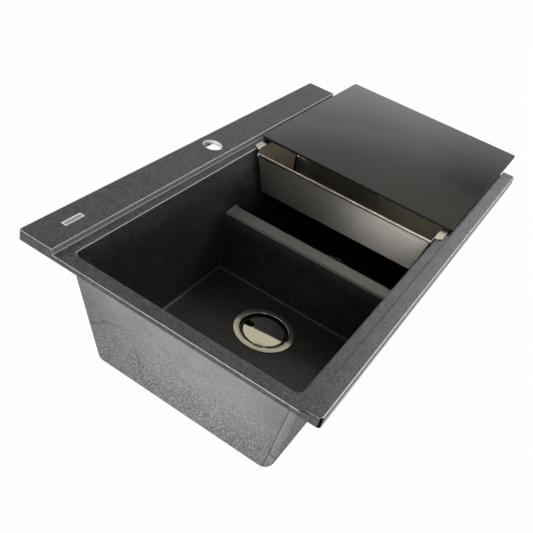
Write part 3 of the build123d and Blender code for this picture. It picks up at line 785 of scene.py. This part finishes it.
def face_outwards():
    """Point all faces outwards and leave edit mode."""
    choose_all()
    bpy.ops.mesh.normals_make_consistent(inside=False)
    leave_edit()


def draw_out(x, y, z):
    """Extrude what is selected, and move it."""
    bpy.ops.mesh.extrude_region_move(TRANSFORM_OT_translate={"value": (x, y, z)})


def round_off(width, segments, clamp=False):
    bpy.ops.mesh.bevel(offset=width, segments=segments, affect="EDGES", clamp_overlap=clamp)


def middle(edge):
    return (edge.verts[0].co + edge.verts[1].co) / 2


def span(edge):
    """How far an edge reaches along X, Y and Z."""
    return Vector([abs(part) for part in edge.verts[0].co - edge.verts[1].co])


def above(edge, height):
    return all(vert.co.z > height for vert in edge.verts)


def at_height(edge, height, near=NEAR):
    return all(abs(vert.co.z - height) < near for vert in edge.verts)


def new_piece(name):
    """Name the primitive just added and put its place in its mesh."""
    piece = bpy.context.object
    piece.name = name
    piece.data.name = name
    bpy.ops.object.transform_apply(location=True, rotation=True, scale=True)
    return piece


def block(name, low, high):
    """A box primitive between two corners."""
    deselect()
    low, high = Vector(low), Vector(high)
    bpy.ops.mesh.primitive_cube_add(size=1, location=(low + high) / 2, scale=high - low)
    return new_piece(name)


def tidy(piece, angle=32):
    """Merge doubles, point faces outwards and shade smooth up to an angle."""
    edit(piece)
    choose_all()
    bpy.ops.mesh.remove_doubles(threshold=NEAR)
    face_outwards()
    only(piece)
    bpy.ops.object.shade_smooth_by_angle(angle=math.radians(angle))


def apply_modifier(piece, kind, **settings):
    only(piece)
    modifier = piece.modifiers.new(kind.lower(), kind)
    for key, value in settings.items():
        setattr(modifier, key, value)
    bpy.ops.object.modifier_apply(modifier=modifier.name)


def combine(piece, other, operation="DIFFERENCE"):
    """Cut another shape from a piece, or join it on, and take the other away."""
    apply_modifier(piece, "BOOLEAN", object=other, operation=operation, solver="EXACT")
    bpy.data.objects.remove(other)


def absorb(piece, other):
    """Make another piece's mesh a part of a piece, as it is."""
    only(piece)
    other.select_set(True)
    bpy.ops.object.join()


def turned(name, centre, rings, capped=True, steps=96):
    """A piece turned about an upright axis: a circle that is extruded and resized from ring to ring.

    Rings are radius and height in millimetres from the centre. The ends are capped, or joined to each other.
    """
    deselect()
    radius, height = rings[0]
    start = centre + Vector((0, 0, height * MM))
    bpy.ops.mesh.primitive_circle_add(vertices=steps, radius=radius * MM, location=start)
    piece = new_piece(name)
    edit(piece, "EDGE")
    choose_all()
    for next_radius, next_height in rings[1:]:
        grow = next_radius / radius
        bpy.ops.mesh.extrude_region_move()
        bpy.ops.transform.resize(value=(grow, grow, 1), center_override=centre)
        shift(0, 0, (next_height - height) * MM)
        radius, height = next_radius, next_height
    choose(piece, "edges", lambda edge: edge.is_boundary)
    if capped:
        bpy.ops.mesh.fill_holes(sides=0)
    else:
        bpy.ops.mesh.bridge_edge_loops()
    face_outwards()
    return piece


RING_NEAR = 0.02 * MM


def round_rings(piece, centre, rings, rounds, segments=4):
    """Bevel rings of a turned piece. Rounds are widths in millimetres by a ring's place in the list."""
    edit(piece, "EDGE")
    for place, width in rounds.items():
        ring = Vector(rings[place]) * MM

        def on_ring(edge):
            spots = [vert.co - centre for vert in edge.verts]
            return all((Vector((spot.xy.length, spot.z)) - ring).length < RING_NEAR for spot in spots)

        choose(piece, "edges", on_ring)
        round_off(width * MM, segments, clamp=True)
    leave_edit()


def give(piece, body, slot, material, *replaced):
    """Finish a piece: its material, the body that it rides on and the nodes that it stands for. The slot is
    not used.
    """
    piece.data.materials.clear()
    piece.data.materials.append(material)
    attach(piece, body)
    if replaced:
        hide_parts(*replaced)


def second_material(piece, material, test):
    """Give the faces that pass a test another material."""
    piece.data.materials.append(material)
    for face in piece.data.polygons:
        if test(face):
            face.material_index = 1


# The wastes in millimetres. Rings are radius from the centre and height from the bowl's floor.
DISH_TOP = 1.5
DISH_RINGS = [
    (40, -38), (41.2, -6), (44, -6), (44, DISH_TOP),                # inside: foot, basket seat and mouth
    (46.6, DISH_TOP), (47.2, 0.85), (55.4, 0.7), (55.4, -0.2),      # rolled lip and wide rim
    (45, -0.2), (45, -7), (42.2, -7), (41, -39),                    # outside, 1 mm of sheet further out
]
DISH_ROUNDS = (({3: 1.4}, 8), ({4: 0.6, 6: 0.4}, 4), ({0: 2.0, 11: 3.0}, 4))     # and their segments
DISH_HOLES = ((5.0, 17.0, 6), (3.2, 0.0, 1))      # radius, radius of their circle and how many
DISH_HOLE_ENDS = (-45, -30)

COVER_TOP = -2.6
COVER_RINGS = [
    (37.8, COVER_TOP), (37.8, -5.6), (36.8, -5.6), (36.8, -3.6),    # disc and skirt
    (7.7, -3.6), (7.7, -6.6), (6.7, -6.6), (6.7, -3.6),             # socket for the knob
]
COVER_ROUNDS = {0: 0.9, 1: 0.3}
OPENING_HALF, OPENING_END, OPENING_RUN_OUT = 7.5, 28.3, 20
OPENING_CUT, OPENING_ROUND = (5, -12), 1.9
LIP_HALF, LIP_HEIGHTS, LIP_DISC = 9.7, (-2.9, -5.8), [(37.2, -2.8), (37.2, -6.0)]

BODY_TOP, OUTLET_END, THREAD_ROOT, THREAD_CREST = -11.7, -77.7, 22.8, 23.9
BODY_RINGS = [
    (44.5, BODY_TOP), (53.5, BODY_TOP), (53.5, -15.2), (47.5, -15.2),    # flange
    (47.5, -45.7), (THREAD_ROOT, -55.7), (THREAD_ROOT, OUTLET_END),      # cup, cone and outlet
    (20.4, OUTLET_END), (20.4, -52.7), (44.5, -42.7),                    # inside
]
BODY_ROUNDS = {2: 0.8, 4: 2.5, 5: 1.5}
RIB_COUNT, RIB_ROOT, RIB_REACH, RIB_HALF, RIB_TAPER = 12, 46.5, 5.6, 1.1, 4.4
RIB_FOOT, RIB_TOP = BODY_TOP - 26, BODY_TOP - 3
THREAD_PITCH, THREAD_TURNS, THREAD_STEPS = 2.31, 8, 64
# the ridge's four corners as radius, sunk a little into the outlet, and height above the outlet's end
RIDGE = ((THREAD_ROOT - 0.3, 1.6), (THREAD_CREST, 2.4), (THREAD_ROOT - 0.3, 3.5), (THREAD_CREST, 2.7))
BOSS_RINGS = [(8, -59), (8, -45), (4.55, -45), (4.55, -57), (3.2, -57), (3.2, -59)]
ARM_REACH, ARM_HALF, ARM_FOOT, ARM_TOP = 22.0, 1.5, -59, -51
ARM_CLEARANCE = [(7.5, -60), (7.5, -40)]

FLOOR_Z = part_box("left_waste_dish")[1].z - DISH_TOP * MM


def waste_centre(side):
    low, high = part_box(f"{side}_waste_dish")
    return Vector(((low.x + high.x) / 2, (low.y + high.y) / 2, FLOOR_Z))


def waste_dish(side, material):
    """Steel dish: a wide sloping rim, a rolled lip, the shoulder for the basket and a holed bottom."""
    centre = waste_centre(side)
    dish = turned(f"{side}_dish", centre, DISH_RINGS)
    for rounds, segments in DISH_ROUNDS:
        round_rings(dish, centre, DISH_RINGS, rounds, segments)
    for radius, circle, count in DISH_HOLES:
        for step in range(count):
            turn = 2 * math.pi * step / count
            spot = centre + Vector((math.cos(turn), math.sin(turn), 0)) * circle * MM
            combine(dish, turned("hole", spot, [(radius, end) for end in DISH_HOLE_ENDS], steps=32))
    tidy(dish)
    give(dish, "sink", "satin_steel", material, f"{side}_waste_dish")


def finger_block(centre, half_width, top, bottom):
    """A slot with a round inner end that runs out past the cover's back edge."""
    spot = centre + Vector((0, OPENING_END, top)) * MM
    deselect()
    bpy.ops.mesh.primitive_circle_add(vertices=64, radius=half_width * MM, location=spot, fill_type="NGON")
    slot = new_piece("finger")
    edit(slot)
    choose(slot, "verts", lambda vert: vert.co.y > spot.y + NEAR)
    shift(0, OPENING_RUN_OUT * MM, 0)
    choose_all()
    draw_out(0, 0, (bottom - top) * MM)
    face_outwards()
    return slot


def waste_cover(side, material):
    """Polished disc with a skirt, a socket for the knob and a finger opening with a rolled lip."""
    centre = waste_centre(side)
    cover = turned(f"{side}_cover", centre, COVER_RINGS)
    lip = finger_block(centre, LIP_HALF, *LIP_HEIGHTS)
    combine(lip, turned("disc", centre, LIP_DISC), "INTERSECT")
    combine(cover, lip, "UNION")
    combine(cover, finger_block(centre, OPENING_HALF, *OPENING_CUT))
    round_rings(cover, centre, COVER_RINGS, COVER_ROUNDS)
    tidy(cover)
    edit(cover, "EDGE")

    def opening_edge(edge):
        """A sharp edge of the opening, at the disc's top and away from the disc's own edge."""
        spot = middle(edge) - centre
        level = at_height(edge, centre.z + COVER_TOP * MM, 0.05 * MM)
        beside = abs(spot.x) < (OPENING_HALF + 0.1) * MM and spot.y > 20 * MM and spot.xy.length < 36.5 * MM
        return level and beside and len(edge.link_faces) == 2 and edge.calc_face_angle() > 1

    choose(cover, "edges", opening_edge)
    round_off(OPENING_ROUND * MM, 6)
    leave_edit()
    tidy(cover)
    give(cover, f"{side}_cover", "polished_steel", material, f"{side}_waste_cover")


def body_ribs(centre):
    """One rib from the flange down the cup, then copied round."""
    outer = centre + Vector((RIB_ROOT, 0, 0)) * MM
    low, high = Vector((0, -RIB_HALF, RIB_FOOT)) * MM, Vector((RIB_REACH, RIB_HALF, RIB_TOP)) * MM
    rib = block("rib", outer + low, outer + high)
    edit(rib)
    lowest = centre.z + (RIB_FOOT + 1) * MM
    choose(rib, "edges", lambda edge: all(v.co.z < lowest and v.co.x > outer.x + MM for v in edge.verts))
    shift(-RIB_TAPER * MM, 0, 0)
    choose_all()
    bpy.ops.mesh.spin(steps=RIB_COUNT, dupli=True, angle=2 * math.pi, center=centre, axis=(0, 0, 1))
    leave_edit()
    tidy(rib)
    return rib


def screw_boss(centre):
    """The boss for the brass insert, and its two crossed arms."""
    boss = turned("boss", centre, BOSS_RINGS, capped=False)
    for x, y in ((ARM_REACH, ARM_HALF), (ARM_HALF, ARM_REACH)):
        arm = block("arm", centre + Vector((-x, -y, ARM_FOOT)) * MM, centre + Vector((x, y, ARM_TOP)) * MM)
        combine(arm, turned("clearance", centre, ARM_CLEARANCE))
        combine(boss, arm, "UNION")
    return boss


def outlet_thread(centre):
    """A ridge wound down the outlet."""
    deselect()
    bpy.ops.mesh.primitive_plane_add(size=1, location=centre)
    ridge = new_piece("thread")
    edit(ridge, "VERT")
    mesh = bmesh.from_edit_mesh(ridge.data)
    for vert, (radius, height) in zip(mesh.verts, RIDGE):
        vert.co = centre + Vector((radius, 0, OUTLET_END + height)) * MM
    bmesh.update_edit_mesh(ridge.data)
    leave_edit()
    ridge.data.transform(Matrix.Translation(-centre))
    apply_modifier(
        ridge, "SCREW", angle=2 * math.pi, screw_offset=THREAD_PITCH * MM, iterations=THREAD_TURNS,
        steps=THREAD_STEPS, render_steps=THREAD_STEPS, axis="Z", use_merge_vertices=True,
    )
    ridge.data.transform(Matrix.Translation(centre))
    tidy(ridge)
    return ridge


def waste_body(side, material):
    """Plastic body: flange, ribbed cup, cone, and an outlet with its thread."""
    centre = waste_centre(side)
    body = turned(f"{side}_body", centre, BODY_RINGS, capped=False)
    round_rings(body, centre, BODY_RINGS, BODY_ROUNDS, segments=3)
    combine(body, body_ribs(centre), "UNION")
    combine(body, screw_boss(centre), "UNION")
    absorb(body, outlet_thread(centre))
    tidy(body)
    give(body, "sink", "black_plastic", material, f"{side}_waste_body")


BOARD_CORNER, BOARD_ARRIS = 5 * MM, 0.7 * MM


def cutting_board(top_material, edge_material):
    """Glass slab with rounded corners and a polished arris all round."""
    board = block("glass_board", *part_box("cutting_board"))
    edit(board, "EDGE")
    choose(board, "edges", lambda edge: span(edge).z > MM)
    round_off(BOARD_CORNER, 10)
    choose(board, "edges", lambda edge: span(edge).z < 0.1 * MM)
    round_off(BOARD_ARRIS, 3)
    leave_edit()
    tidy(board, 40)
    give(board, "board", "black_glass", top_material, "cutting_board")
    second_material(board, edge_material, lambda face: abs(face.normal.z) < 0.9)


BADGE_RIM, BADGE_STEP, BADGE_FIELD_DEPTH = 1.9 * MM, 0.2 * MM, -0.25 * MM
BADGE_CORNER, BADGE_EDGE = 1 * MM, 0.12 * MM


def badge_plate(material, field_material):
    """Bright plate with a raised rim round a bare, duller field."""
    low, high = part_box("badge_plate")
    plate = block("badge", low, high)
    edit(plate)
    choose(plate, "faces", lambda face: face.normal.z > 0.9)
    bpy.ops.mesh.inset(thickness=BADGE_RIM, depth=0)
    bpy.ops.mesh.inset(thickness=BADGE_STEP, depth=BADGE_FIELD_DEPTH)
    centre, reach = (low + high) / 2, (high - low) / 2

    def corner_post(edge):
        return span(edge).z > 0.4 * MM and abs(abs(middle(edge).x - centre.x) - reach.x) < 0.1 * MM

    choose(plate, "edges", corner_post)
    round_off(BADGE_CORNER, 5)
    choose(plate, "edges", lambda edge: above(edge, high.z - NEAR) and edge.calc_face_angle() > 0.5)
    round_off(BADGE_EDGE, 2)
    leave_edit()
    tidy(plate)
    give(plate, "sink", "badge_metal", material, "badge_plate")
    sunk = high.z - 0.1 * MM
    second_material(plate, field_material, lambda face: face.normal.z > 0.9 and face.center.z < sunk)


def tray_hem(side):
    """A long wall's top, folded over outwards, so the fold is twice as thick as the sheet."""
    _, high, centre, _, half_x, half_y = tray_frame()
    wall_top = high.z - TRAY_WALL_DROP
    reach = half_y - TRAY_CORNER / 2
    fold = SHEET / math.cos(TRAY_DRAFT)
    edge_x = centre.x + side * half_x
    hem = block(
        "hem",
        (edge_x - fold, centre.y - reach, wall_top - TRAY_HEM),
        (edge_x + fold, centre.y + reach, wall_top),
    )
    edit(hem, "EDGE")
    choose(hem, "edges", lambda edge: above(edge, wall_top - NEAR) and span(edge).x < NEAR)
    round_off(TRAY_FOLD_ROUND * fold, 5)
    choose(hem, "verts", lambda vert: vert.co.z < wall_top - TRAY_HEM / 2)
    shift(-side * TRAY_HEM * math.tan(TRAY_DRAFT), 0, 0)
    choose_all()
    shift(-side * TRAY_HEM_SUNK, 0, 0)
    leave_edit()
    tidy(hem)
    return hem


def drain_holes():
    """The pins that cut the rows of holes in the tray's floor."""
    low, _, centre, *_ = tray_frame()
    deselect()
    bpy.ops.mesh.primitive_circle_add(vertices=16, radius=TRAY_HOLE_RADIUS, fill_type="NGON")
    pins = new_piece("hole")
    first = Vector((
        centre.x - TRAY_HOLE_PITCH * (TRAY_HOLE_COLUMNS - 1) / 2,
        centre.y - TRAY_HOLE_PITCH * (TRAY_HOLE_ROWS - 1) / 2,
        low.z - SHEET,
    ))
    pins.data.transform(Matrix.Translation(first))
    edit(pins)
    choose_all()
    draw_out(0, 0, 4 * SHEET)
    leave_edit()
    along_x, along_y = (TRAY_HOLE_PITCH, 0, 0), (0, TRAY_HOLE_PITCH, 0)
    for count, step in ((TRAY_HOLE_COLUMNS, along_x), (TRAY_HOLE_ROWS, along_y)):
        apply_modifier(
            pins, "ARRAY", count=count, use_relative_offset=False, use_constant_offset=True,
            constant_offset_displace=step,
        )
    tidy(pins)
    return pins


def steel_tray(material):
    """Folded tray: a tapered box, end walls that turn over into flanges and long walls with a hem."""
    low, high, centre, lean, half_x, half_y = tray_frame()
    wall_top = high.z - TRAY_WALL_DROP
    inward = (wall_top - low.z) * math.tan(TRAY_DRAFT)

    # outside skin of the tapered box, open at the top
    tray = block(
        "steel_tray",
        (centre.x - half_x, centre.y - half_y, low.z),
        (centre.x + half_x, centre.y + half_y, wall_top),
    )
    edit(tray)
    choose(tray, "faces", lambda face: face.normal.z < -0.9)
    shrink = ((half_x - inward) / half_x, (half_y - inward) / half_y, 1)
    bpy.ops.transform.resize(value=shrink, center_override=centre)
    choose(tray, "faces", lambda face: face.normal.z > 0.9)
    bpy.ops.mesh.delete(type="ONLY_FACE")
    choose(tray, "edges", lambda edge: not above(edge, low.z + MM))
    round_off(TRAY_CORNER, 5)

    # end walls rise on and turn over into the flanges
    def end_edge(edge, end):
        at_end = (middle(edge).y - centre.y) * end > half_y - MM
        return at_end and at_height(edge, wall_top) and span(edge).y < NEAR

    def fold_edge(edge):
        at_fold = abs(abs(middle(edge).y - centre.y) - half_y - lean) < 0.1 * MM
        return at_fold and above(edge, high.z - NEAR)

    for end in (-1, 1):
        choose(tray, "edges", lambda edge: end_edge(edge, end))
        draw_out(0, end * lean, TRAY_WALL_DROP)
        draw_out(0, end * TRAY_FOLD, 0)
        draw_out(0, end * (TRAY_FLANGE - TRAY_FOLD), 0)
        narrow = (half_x - TRAY_CORNER / 2 - TRAY_FLANGE_BEVEL) / (half_x - TRAY_CORNER)
        bpy.ops.transform.resize(value=(narrow, 1, 1), center_override=centre)
        choose(tray, "edges", fold_edge)
        round_off(TRAY_FOLD_ROUND * MM, 3)
    leave_edit()
    apply_modifier(tray, "SOLIDIFY", thickness=SHEET, offset=-1)
    for side in (-1, 1):
        absorb(tray, tray_hem(side))
    combine(tray, drain_holes())
    tidy(tray, 40)
    give(tray, "tray", "brushed_tray_steel", material, "tray")


# Finishes of the metal pieces, and of the moulded ones
METALS = {
    "polished_steel": {
        "colour": (0.72, 0.70, 0.64, 1), "roughness": (0.03, 0.07), "lines": 3500.0, "turned_lines": True,
        "depth": 0.002 * MM, "darker": 0.06,
    },
    "screw_steel": {
        "colour": (0.58, 0.58, 0.57, 1), "roughness": (0.2, 0.35), "lines": 3000.0, "turned_lines": True,
    },
    "badge_metal": {
        "colour": (0.97, 0.96, 1.0, 1), "roughness": (0.34, 0.42), "lines": 4000.0, "depth": 0.004 * MM,
        "darker": 0.05,
    },
    "badge_field": {
        "colour": (0.46, 0.46, 0.49, 1), "roughness": (0.32, 0.42), "lines": 4000.0, "depth": 0.004 * MM,
    },
    "brass": {
        "colour": (0.75, 0.55, 0.27, 1), "roughness": (0.2, 0.35), "lines": 2500.0, "turned_lines": True,
    },
}
MOULDINGS = {
    "black_plastic": {"colour": grey(0.022), "roughness": (0.38, 0.52)},
    "black_plastic_knob": {"colour": grey(0.020), "roughness": (0.18, 0.28), "relief": 0.02 * MM},
    "gasket_rubber": {"colour": grey(0.026), "roughness": (0.62, 0.80)},
    "silicone": {"colour": grey(0.030), "roughness": (0.50, 0.68)},
}

# Nodes of each waste whose CAD mesh is shown, and their finishes
WASTE_NODES = {
    "strainer_basket": "basket_steel",
    "basket_stem": "black_plastic_knob",
    "plug_seal": "gasket_rubber",
    "upper_gasket": "gasket_rubber",
    "lower_gasket": "gasket_rubber",
    "clamp_screw": "screw_steel",
    "screw_insert": "brass",
}


def cad_material(node, material):
    mesh = NODES[node].data
    mesh.materials.clear()
    mesh.materials.append(material)


def main():
    bpy.context.scene.view_settings.view_transform = "Standard"
    place_camera()
    studio_world()
    for lamp in LAMPS:
        softbox(*lamp)
    white_floor()

    finishes = {name: steel(name, **look)[0] for name, look in METALS.items()}
    finishes.update({name: moulded(name, **look) for name, look in MOULDINGS.items()})
    finishes["basket_steel"] = basket_steel()
    dish_finish = dish_steel()

    cad_material("sink_body", granite())
    for strip in ("board_strip_front", "board_strip_back"):
        cad_material(strip, finishes["silicone"])
    cutting_board(black_glass(), black_glass(edge=True))
    badge_plate(finishes["badge_metal"], finishes["badge_field"])
    steel_tray(tray_steel())
    for side in SIDES:
        waste_dish(side, dish_finish)
        waste_cover(side, finishes["polished_steel"])
        waste_body(side, finishes["black_plastic"])
        for node, finish in WASTE_NODES.items():
            cad_material(f"{side}_{node}", finishes[finish])


main()
deselect()
